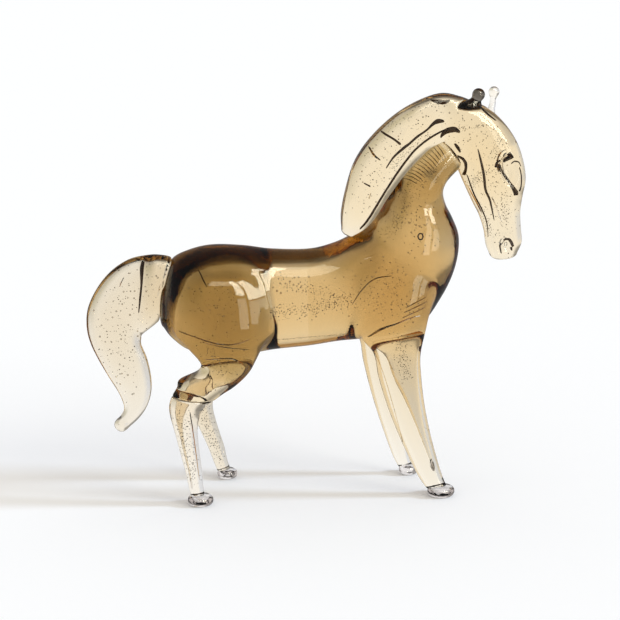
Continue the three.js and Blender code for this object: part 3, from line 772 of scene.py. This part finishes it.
def fore_leg(side, elbow, foot, ankle):
    """Sections of a foreleg, from inside the shoulder to the ankle."""
    elbow_out, foot_out = 0.5 * ELBOW_W, 0.5 * FORE_FOOT_W
    inside = [
        (0.87, 0.09, 0.62, 0.36, 0.42, 14), (0.79, 0.075, 0.82, 0.68, 0.74, 14),
        (0.62, 0.04, 0.97, 0.93, 0.94, 14), (0.42, 0, 1, 1, 1, 14), (0.2, -0.035, 0.97, 0.92, 0.95, 12)]
    rows = [
        section(
            elbow + along * ELBOW_S, BELLY + up * BARREL, span * ELBOW_S, thickness * ELBOW_T, tilt,
            side * out * elbow_out)
        for up, along, out, span, thickness, tilt in inside]
    end = foot - HOOF_LEAD
    for share in (0.98, 0.82, 0.64, 0.46, 0.28, 0.13):
        wide = mix(ankle, FORE_ROOT, share)
        rows.append(section(
            mix(elbow, end, (1 - share) ** FORE_SWEEP), share * BELLY, wide, FORE_ROUND * wide, 0,
            side * mix(foot_out, elbow_out, share ** FORE_SPREAD)))
    rows.append(section(end, 0.5 * HOOF_T, ankle, FORE_ROUND * ankle, 0, side * foot_out))
    return refine(rows)


def lofted(rows, **caps):
    """Field of a loft through sections of the CAD source, moved to the centred frame."""
    points, tris, quads = loft(rows, **caps)
    return field((points + SHIFT, tris, quads))


# The grid's places along each axis
gx, gy, gz = np.meshgrid(
    *[low + VOXEL * np.arange(count, dtype=np.float32) for low, count in zip(LOW, COUNT)],
    indexing="ij", sparse=True)


def hoof_field(x, y, diameter):
    """A bead pressed flat: a disc with a round rim."""
    rim = HOOF_RIM * HOOF_T
    radius = 0.5 * diameter - rim
    out = np.maximum(np.sqrt((gx - x - SHIFT[0]) ** 2 + (gy - y) ** 2) - radius, 0)
    high = np.maximum(np.abs(gz - 0.5 * HOOF_T) - (0.5 * HOOF_T - rim), 0)
    return (np.sqrt(out ** 2 + high ** 2) - rim).astype(np.float32)


def hollow(along, up, share, side, lean, height, width, depth):
    """Field of an oval hollow in a side of the head, out from its middle by a share of half HEAD_T."""
    x, z = in_head(along, up)
    turn = math.radians(lean)
    dx, dz = gx - x - SHIFT[0], gz - z
    u = (dx * math.cos(turn) - dz * math.sin(turn)) / (0.5 * width)
    w = (dx * math.sin(turn) + dz * math.cos(turn)) / (0.5 * height)
    v = (gy - side * 0.5 * share * HEAD_T) / depth
    far = np.sqrt(u ** 2 + v ** 2 + w ** 2)
    steep = np.sqrt((u / (0.5 * width)) ** 2 + (v / depth) ** 2 + (w / (0.5 * height)) ** 2) + TINY
    return np.clip(far * (far - 1) / steep, -BAND * VOXEL, BAND * VOXEL).astype(np.float32)


GAP = 0.12  # mm between a piece and the one that it is cut back to
body_line = lofted(refine(body_sections), start_cap=1.2, end_cap=1.5)
slab = lofted(slab_rings, start_cap=1, end_cap=2)
head_only = lofted(slab_rings[head_start:], end_cap=2)

hind = {
    "right": dict(side=-1, hip=18, hock=8.5, foot=10.1),
    "left": dict(side=1, hip=19.5, hock=13.9, foot=19.3)}
fore = {
    "right": dict(side=-1, elbow=67.6, foot=80.7, ankle=6),
    "left": dict(side=1, elbow=65.3, foot=73.8, ankle=3.8)}
hoof_size = {("fore", "right"): 7.9, ("fore", "left"): 5.6, ("hind", "right"): 7.4, ("hind", "left"): 5.9}

thighs, shanks = {}, {}
for label, facts in hind.items():
    thigh_rings, shank_rings = hind_leg(**facts)
    thighs[label] = lofted(thigh_rings, start_cap=1)
    shanks[label] = lofted(shank_rings)


# Materials

HEADROOM = 1.25  # density over the largest loss


def glass(name, absorb, index=1.5):
    """Clear glass that takes up light along the way through it. absorb is the loss per metre."""
    density = HEADROOM * max(absorb)
    material = bpy.data.materials.new(name)
    material.use_nodes = True
    nt = material.node_tree
    nt.nodes.clear()
    out = nt.nodes.new("ShaderNodeOutputMaterial")
    shader = nt.nodes.new("ShaderNodeBsdfPrincipled")
    shader.inputs["Base Color"].default_value = (1, 1, 1, 1)
    shader.inputs["Transmission Weight"].default_value = 1
    shader.inputs["Roughness"].default_value = 0.0
    shader.inputs["IOR"].default_value = index
    nt.links.new(shader.outputs[0], out.inputs["Surface"])
    volume = nt.nodes.new("ShaderNodeVolumeAbsorption")
    volume.inputs["Color"].default_value = (*[1 - a / density for a in absorb], 1)
    volume.inputs["Density"].default_value = density
    nt.links.new(volume.outputs[0], out.inputs["Volume"])
    return material


amber = glass("amber_glass", (13, 30, 66))
pale = glass("champagne_glass", (9, 27, 66))
leg_glass = glass("pale_rod_glass", (10.2, 24, 50))
smoke = glass("smoke_glass", (560, 600, 660))
tail_glass = glass("tail_glass", (26, 48, 92))
bead_glass = glass("bead_glass", (38, 46, 50))
# Painted shade: dark opaque brown for the lines, rings and specks that stand in for the shade of folds and
# seeds
painted_shade_glass = bpy.data.materials.new("painted_shade_glass")
painted_shade_glass.use_nodes = True
painted_shade_shader = painted_shade_glass.node_tree.nodes["Principled BSDF"]
painted_shade_shader.inputs["Base Color"].default_value = (0.075, 0.042, 0.022, 1)
painted_shade_shader.inputs["Roughness"].default_value = 0.35
# Darker rod glass within the amber. It only adds to the loss, so light isn't bent at its surface.
haunch_core_glass = glass("haunch_core_glass", (30, 33, 48), 1.0)
neck_core_glass = glass("neck_core_glass", (36, 52, 92), 1.0)
# The rim core is painted shade: dark grey glass that darkens the edges of the back and the rump, where the
# glass shows shade
rim_painted_shade_glass = glass("rim_painted_shade_glass", (330, 410, 600), 1.0)


# Pieces. The smoothness is in mm: how far a union is filled out, or how wide a cut's edge is rounded.

BODY_WELD = 1.6
BEAD_WELD = 0.8
CURL_WELD = 1.0
HOOF_CUT = 0.3
BODY_CUT = 0.6
TAIL_CUT = 0.8
EAR_CUT = 0.5
CREST_CUT = 0.3
HOLLOW_CUT = 0.4


def cut_back(form, neighbour, smooth, gap=GAP):
    """Field of a form less its neighbour and a gap."""
    return smooth_max(form, -(neighbour - gap), smooth)


body = body_line
for label in hind:
    body = smooth_min(body, thighs[label], BODY_WELD)
fore_hooves = {}
for label, facts in fore.items():
    leg = lofted(fore_leg(**facts), start_cap=2)
    hoof = hoof_field(facts["foot"], facts["side"] * 0.5 * FORE_FOOT_W, hoof_size["fore", label])
    body = smooth_min(body, cut_back(leg, hoof, HOOF_CUT), BODY_WELD)
    fore_hooves[label] = hoof
body = cut_back(body, head_only, BODY_CUT)
piece("body", body, amber, "smoky_amber", "trunk", "neck", "thigh_right", "thigh_left",
      "foreleg_right", "foreleg_left")


# Cores, nested in the body, which deepen its tint; the rim core's dark grey is painted shade along the edges of
# the back and the rump

CORE_SKIN = 1.0  # glass of the body over a core
RIM_SKIN = 0.5
CORE_EDGE = 0.6
RIM_EDGE = 0.4
CORE_GAP = 0.2  # between two cores
HAUNCH_INSET = 1.5
HAUNCH_END = 37.0  # height where the haunch core fades out
HAUNCH_END_STEEP = 0.7
HAUNCH_END_EDGE = 3.0
# Paths of x and z
BACK_RIM = [
    (13.3, 79), (11.3, 76.1), (7.8, 73.7), (0.3, 71.4), (-11.3, 71.3), (-22, 71.9), (-29, 71.2),
    (-33.6, 69.2), (-37.1, 66.5), (-38.9, 62), (-40, 57.5), (-40, 52.1)]
RUMP_RIM = [
    (-37.1, 66.5), (-39.2, 62), (-40.3, 57.5), (-40.3, 52.1), (-39, 47.3), (-36, 44.4), (-32.5, 41.9)]
NECK_CORE_WIDTHS = [2, 3, 6, 8, 7, 3, 4.5, 8, 11.5, 13.5, 14, 13, 11]
NECK_CORE_INSET = 1.6


def rod(path, radius, y, squeeze):
    """Field of a rod along a path of x and z, 1 / squeeze times as wide across the figurine."""
    best = None
    for (x0, z0), (x1, z1) in zip(path, path[1:]):
        dx, dz = x1 - x0, z1 - z0
        t = np.clip(((gx - x0) * dx + (gz - z0) * dz) / (dx * dx + dz * dz), 0, 1)
        away = (gx - x0 - t * dx) ** 2 + (gz - z0 - t * dz) ** 2
        best = away if best is None else np.minimum(best, away)
    return (np.sqrt(best + (squeeze * (gy - y)) ** 2) - radius).astype(np.float32)


# The rim: painted shade, a dark grey rod under the edges of the back and the rump
rim = np.minimum(
    rod(BACK_RIM, radius=1.8, y=-5, squeeze=0.3), rod(RUMP_RIM, radius=2.3, y=-8.5, squeeze=0.5))


def core(form):
    """Field of a core within the body, clear of the rim core of painted shade."""
    return cut_back(smooth_max(form, body + CORE_SKIN, CORE_EDGE), rim, RIM_EDGE, CORE_GAP)


haunches = smooth_min(thighs["right"], thighs["left"], BODY_WELD) + HAUNCH_INSET
below = (HAUNCH_END - gz).astype(np.float32) * HAUNCH_END_STEEP
piece("haunch_core", core(smooth_max(haunches, below, HAUNCH_END_EDGE)), haunch_core_glass, "smoky_amber")
# Painted shade along the back's and the rump's edges
piece("rim_core", smooth_max(rim, body + RIM_SKIN, RIM_EDGE), rim_painted_shade_glass, "smoky_amber")
core_rows = []
for row, width in zip(body_sections[-len(NECK_CORE_WIDTHS):], NECK_CORE_WIDTHS):
    x, z, span, _, tilt, y, roundness = row
    core_rows.append(section(x, z, span - NECK_CORE_INSET, width, tilt, y, roundness))
neck_core = lofted(refine(core_rows), start_cap=0.8, end_cap=1)
piece("neck_core", core(neck_core), neck_core_glass, "smoky_amber")


# Ears, crest and head, tail

RIGHT_BEAD = (48.9, -0.5 * EAR_SPREAD, 117.55)
RIGHT_BEAD_D = 3.7
LEFT_BEAD_D = 3.1
CURL_D = 3.8
CURL_UP = 0.3  # how far the curl's middle lies over the tip
# Rows of x, z, span and width
CONE = [(46.4, 113.9, 7.2, 4.8), (46.7, 115, 6.2, 4.6), (47.5, 116, 3.6, 3), (48.5, 116.9, 1.9, 1.9)]
# Share of the way up the stalk, and thickness
STALK = [(0, 3.4), (0.25, 2.3), (0.6, 1.8), (1, 1.8)]
EYE = dict(along=0.405, up=-0.18, share=0.91, lean=-16, height=9.6, width=5.4, depth=1.1)
NOSTRIL = dict(along=0.4, up=-0.64, share=0.61, lean=0, height=3.2, width=2.4, depth=0.9)


def bead(form, place, diameter, weld=BEAD_WELD):
    """Adds a round bead to a form, at a place in the centred frame."""
    x, y, z = place
    ball = np.sqrt((gx - x) ** 2 + (gy - y) ** 2 + (gz - z) ** 2).astype(np.float32) - 0.5 * diameter
    return smooth_min(form, ball, weld)


# Right ear: a low dark cone let into the crest, and its bead
cone = [section(x, z, span, width, 0, -0.5 * EAR_SPREAD) for x, z, span, width in CONE]
right_ear = bead(field(loft(refine(cone), start_cap=0.6, end_cap=0.5)), RIGHT_BEAD, RIGHT_BEAD_D)
# Left ear: a clear stalk with a bead
root, tip = in_head(0.31, 0.1), in_head(0.33, 0.265)
lean = math.degrees(math.atan2(tip[1] - root[1], tip[0] - root[0])) - 90
stalk = [
    section(mix(root[0], tip[0], up), mix(root[1], tip[1], up), wide, wide, lean, 0.5 * EAR_SPREAD)
    for up, wide in STALK]
left_ear = bead(
    lofted(refine(stalk), end_cap=0.5), (tip[0] + SHIFT[0], 0.5 * EAR_SPREAD, tip[1]),
    LEFT_BEAD_D)
left_ear = cut_back(left_ear, slab, EAR_CUT)
slab = cut_back(slab, right_ear, CREST_CUT)
for side in (-1, 1):
    for form in (EYE, NOSTRIL):
        slab = smooth_max(slab, -hollow(side=side, **form), HOLLOW_CUT)
piece("crest_and_head", cut_back(slab, body, BODY_CUT), pale, "pale_champagne", "mane", "head")
end = middle(tail_rings[-1]) + SHIFT + np.array([0, 0, CURL_UP])
tail = bead(lofted(tail_rings, end_cap=1.2), end, CURL_D, CURL_WELD)
piece("tail_blade", cut_back(tail, body, TAIL_CUT), tail_glass, "pale_champagne", "tail")


# Shanks and hooves

for label, facts in hind.items():
    hoof = hoof_field(facts["foot"], facts["side"] * 0.5 * HIND_FOOT_W, hoof_size["hind", label])
    shank = cut_back(cut_back(shanks[label], hoof, HOOF_CUT), body, BODY_CUT)
    shank_glass = leg_glass if label == "right" else tail_glass
    piece(f"hind_shank_{label}", shank, shank_glass, "pale_champagne", f"shank_{label}")
    piece(f"hind_hoof_{label}", hoof, bead_glass, "pale_champagne", f"hoof_hind_{label}")
for label, hoof in fore_hooves.items():
    piece(f"fore_hoof_{label}", hoof, bead_glass, "pale_champagne", f"hoof_fore_{label}")
piece("ear_bead_right", right_ear, smoke, "smoky_amber", "ear_right")
piece("ear_bead_left", left_ear, pale, "pale_champagne", "ear_left")


# Studio. Rays that leave the glass or glance off it see bright and dark surroundings, as in a room, by
# their direction only. The light on pale, matt things is plain.

PLAIN = 0.66  # level of the plain light
PLAIN_LIGHT = (1.04 * PLAIN, PLAIN, 0.95 * PLAIN, 1)
BACKDROP = (1, 1, 0.98, 1)


def socket(nt, kind, values, output=0, **settings):
    """New node with values on its inputs, numbers or the outputs of other nodes."""
    made = nt.nodes.new(kind)
    for key, value in settings.items():
        setattr(made, key, value)
    for place, value in values.items():
        if isinstance(value, bpy.types.NodeSocket):
            nt.links.new(value, made.inputs[place])
        else:
            made.inputs[place].default_value = value
    return made.outputs[output]


def calc(nt, operation, *values):
    return socket(nt, "ShaderNodeMath", dict(enumerate(values)), operation=operation)


def share_between(nt, value, low, high):
    """0 up to low, 1 from high on. Low may be the larger."""
    return socket(nt, "ShaderNodeMapRange", {0: value, 1: low, 2: high, 3: 0.0, 4: 1.0})


def ramp(nt, value, stops, top=1.0):
    """Colour by a value, from stops of a value and a grey or a colour of at most top."""
    low, high = stops[0][0], stops[-1][0]
    share = share_between(nt, value, low, high)
    made = nt.nodes.new("ShaderNodeValToRGB")
    nt.links.new(share, made.inputs[0])
    elements = made.color_ramp.elements
    elements.remove(elements[1])
    for k, (place, colour) in enumerate(stops):
        at = (place - low) / (high - low)
        element = elements[0] if k == 0 else elements.new(at)
        element.position = at
        rgb = colour if isinstance(colour, tuple) else (colour,) * 3
        element.color = (*[c / top for c in rgb], 1)
    return scaled(nt, made.outputs[0], top)


def scaled(nt, colour, factor):
    return socket(nt, "ShaderNodeVectorMath", {0: colour, "Scale": factor}, operation="SCALE")


def plus(nt, a, b):
    return socket(nt, "ShaderNodeVectorMath", {0: a, 1: b}, operation="ADD")


def choose(nt, share, a, b):
    return socket(nt, "ShaderNodeMix", {0: share, 6: a, 7: b}, output=2, data_type="RGBA")


def ray_kinds(nt):
    """1 for camera rays, for rays that left the glass, and for rays that glanced off it."""
    path = nt.nodes.new("ShaderNodeLightPath")
    first = calc(nt, "LESS_THAN", path.outputs["Diffuse Depth"], 0.5)
    through = calc(nt, "MULTIPLY", path.outputs["Is Transmission Ray"], first)
    glancing = calc(nt, "MULTIPLY", path.outputs["Is Glossy Ray"], first)
    mirror = calc(nt, "SUBTRACT", glancing, through)
    return path.outputs["Is Camera Ray"], through, mirror


def patch(nt, value, low, high, soft=1.0):
    """1 between low and high, with soft edges."""
    rise = share_between(nt, value, low - soft, low)
    fall = share_between(nt, value, high + soft, high)
    return calc(nt, "MULTIPLY", rise, fall)


DEG = 180 / math.pi

world = bpy.data.worlds.new("studio")
bpy.context.scene.world = world
world.use_nodes = True
nt = world.node_tree
nt.nodes.clear()
way = nt.nodes.new("ShaderNodeTexCoord").outputs["Generated"]
axes = nt.nodes.new("ShaderNodeSeparateXYZ")
nt.links.new(way, axes.inputs[0])
to_x, to_y, to_z = axes.outputs
height = calc(nt, "MULTIPLY", calc(nt, "ARCSINE", to_z), DEG)
# Degrees from +Y towards +X, all the way round
compass = calc(nt, "MULTIPLY", calc(nt, "ARCTAN2", to_x, to_y), DEG)

# What is seen through the glass, by degrees over the horizon. Below it lies the table.
BEHIND = [
    (-90, 0.12), (-55, 0.25), (-48, 0.6), (-40, 1.02), (-30, 0.99), (-15, 1.0), (0, 1.04), (15, 1.06),
    (33, 1.05), (47, 0.8), (60, 0.5), (75, 0.2), (90, 0.15)]
RIGHT = [
    (-90, 0.1), (-52, 0.15), (-45, 0.55), (-30, (0.68, 0.67, 0.58)), (-22, (0.8, 0.8, 0.76)), (-12, 1.0),
    (0, 1.04), (15, 1.06), (35, 0.7), (60, 0.5), (90, 0.15)]
LEFT = [
    (-90, 0.1), (-52, 0.15), (-45, 0.7), (-30, (0.74, 0.77, 0.82)), (-15, (0.78, 0.83, 0.95)), (-5, 0.95),
    (0, 0.85), (4, 0.35), (15, 0.3), (35, 0.6), (60, 0.5), (90, 0.15)]
FRONT = [
    (-90, 0.6), (-60, 0.45), (-45, 0.33), (-35, 0.26), (-27, 0.35), (-20, 0.75), (-12, 1.0), (0, 1.04),
    (40, 1.0), (60, 0.6), (90, 0.15)]

TOP = 1.06  # brightest level in these
aside = calc(nt, "ABSOLUTE", compass)
# Each side, with the degrees where it begins to show and where only it is seen
sides_seen = [(compass, 12.0, 24.0, RIGHT), (compass, -9.0, -21.0, LEFT), (aside, 90.0, 120.0, FRONT)]
through_colour = ramp(nt, height, BEHIND, TOP)
for turned, start, full, stops in sides_seen:
    seen = share_between(nt, turned, start, full)
    through_colour = choose(nt, seen, through_colour, ramp(nt, height, stops, TOP))

# What glances off the glass: dim, with windows, each by its edges round the compass and over the
# horizon, and its brightness
DIM = [(-90, 0.15), (-5, 0.3), (20, 0.2), (90, 0.15)]
WINDOWS = [
    ((124, 139), (12, 58), 12.0), ((144, 157), (18, 64), 12.0), ((124, 139), (-6, 8), 3.0),
    ((144, 157), (-10, 14), 3.0), ((142, 180), (46, 68), 3.5), ((-180, -152), (46, 68), 3.5)]
WINDOW_TINT = (1, 0.94, 0.74)
mirror_colour = ramp(nt, height, DIM)
for (left, right), (bottom, top), bright in WINDOWS:
    window = calc(nt, "MULTIPLY", patch(nt, compass, left, right), patch(nt, height, bottom, top))
    glow = scaled(nt, tuple(bright * tint for tint in WINDOW_TINT), window)
    mirror_colour = plus(nt, mirror_colour, glow)

camera_ray, through, mirror = ray_kinds(nt)
colour = choose(nt, camera_ray, PLAIN_LIGHT, BACKDROP)
colour = choose(nt, through, colour, through_colour)
colour = choose(nt, mirror, colour, mirror_colour)
background = socket(nt, "ShaderNodeBackground", {0: colour, 1: 1.0})
nt.links.new(background, nt.nodes.new("ShaderNodeOutputWorld").inputs[0])


# The floor. Rays from the glass see past it, into the world.

FLOOR_SIZE = 6
FLOOR = (0.92, 0.92, 0.92, 1)
WHITENED = 0.09  # light added where the camera sees it


def plane(name, size):
    half = size / 2
    corners = [(-half, -half, 0), (half, -half, 0), (half, half, 0), (-half, half, 0)]
    mesh = bpy.data.meshes.new(name)
    mesh.from_pydata(corners, [], [(0, 1, 2, 3)])
    obj = linked(name, mesh)
    return obj


floor = plane("floor", FLOOR_SIZE)
floor_material = bpy.data.materials.new("floor")
floor_material.use_nodes = True
nt = floor_material.node_tree
nt.nodes.clear()
camera_ray, through, mirror = ray_kinds(nt)
matt = socket(nt, "ShaderNodeBsdfDiffuse", {0: FLOOR})
whiter = socket(nt, "ShaderNodeEmission", {0: (1, 1, 1, 1), 1: calc(nt, "MULTIPLY", camera_ray, WHITENED)})
floor_lit = socket(nt, "ShaderNodeAddShader", {0: matt, 1: whiter})
from_glass = calc(nt, "ADD", through, mirror)
clear = socket(nt, "ShaderNodeBsdfTransparent", {})
floor_seen = socket(nt, "ShaderNodeMixShader", {0: from_glass, 1: floor_lit, 2: clear})
nt.links.new(floor_seen, nt.nodes.new("ShaderNodeOutputMaterial").inputs["Surface"])
floor.data.materials.append(floor_material)


def direction(azimuth, elevation):
    """By degrees from +Y towards +X, and over the horizon."""
    turn, rise = math.radians(azimuth), math.radians(elevation)
    return Vector((math.sin(turn) * math.cos(rise), math.cos(turn) * math.cos(rise), math.sin(rise)))


def sun(name, azimuth, elevation, level, colour, spread):
    """Light from one side. level is what it adds to a white floor."""
    data = bpy.data.lights.new(name, "SUN")
    data.energy = level * math.pi / math.sin(math.radians(elevation))
    data.color = colour
    data.angle = math.radians(spread)
    obj = linked(name, data)
    obj.rotation_euler = (-direction(azimuth, elevation)).to_track_quat("-Z", "Y").to_euler()
    obj.visible_glossy = False
    obj.visible_transmission = False


sun("low_sun", azimuth=96, elevation=22, level=0.22, colour=(0.78, 0.95, 1.2), spread=9)
sun("side_sun", azimuth=125, elevation=34, level=0.12, colour=(1.0, 1.0, 0.9), spread=30)


# Camera, 5.5 degrees behind square to the side and 15 degrees up

AZIMUTH = 185.5
ELEVATION = 15
DISTANCE = 0.7
LENS = 140.16
SENSOR = 36
BOUNCES = 24
AIM = (0, 0, 0.058)
AIM_SHIFT = (0.00116, -0.00342, 0)  # in the picture's own directions
toward = direction(AZIMUTH, ELEVATION)
turn = (-toward).to_track_quat("-Z", "Y")
camera = linked("camera", bpy.data.cameras.new("camera"))
camera.data.lens = LENS
camera.data.sensor_width = SENSOR
camera.rotation_mode = "QUATERNION"
camera.rotation_quaternion = turn
camera.location = Vector(AIM) + turn @ Vector(AIM_SHIFT) + toward * DISTANCE
scene = bpy.context.scene
scene.camera = camera
scene.view_settings.view_transform = "Standard"
scene.cycles.max_bounces = BOUNCES
scene.cycles.transmission_bounces = BOUNCES
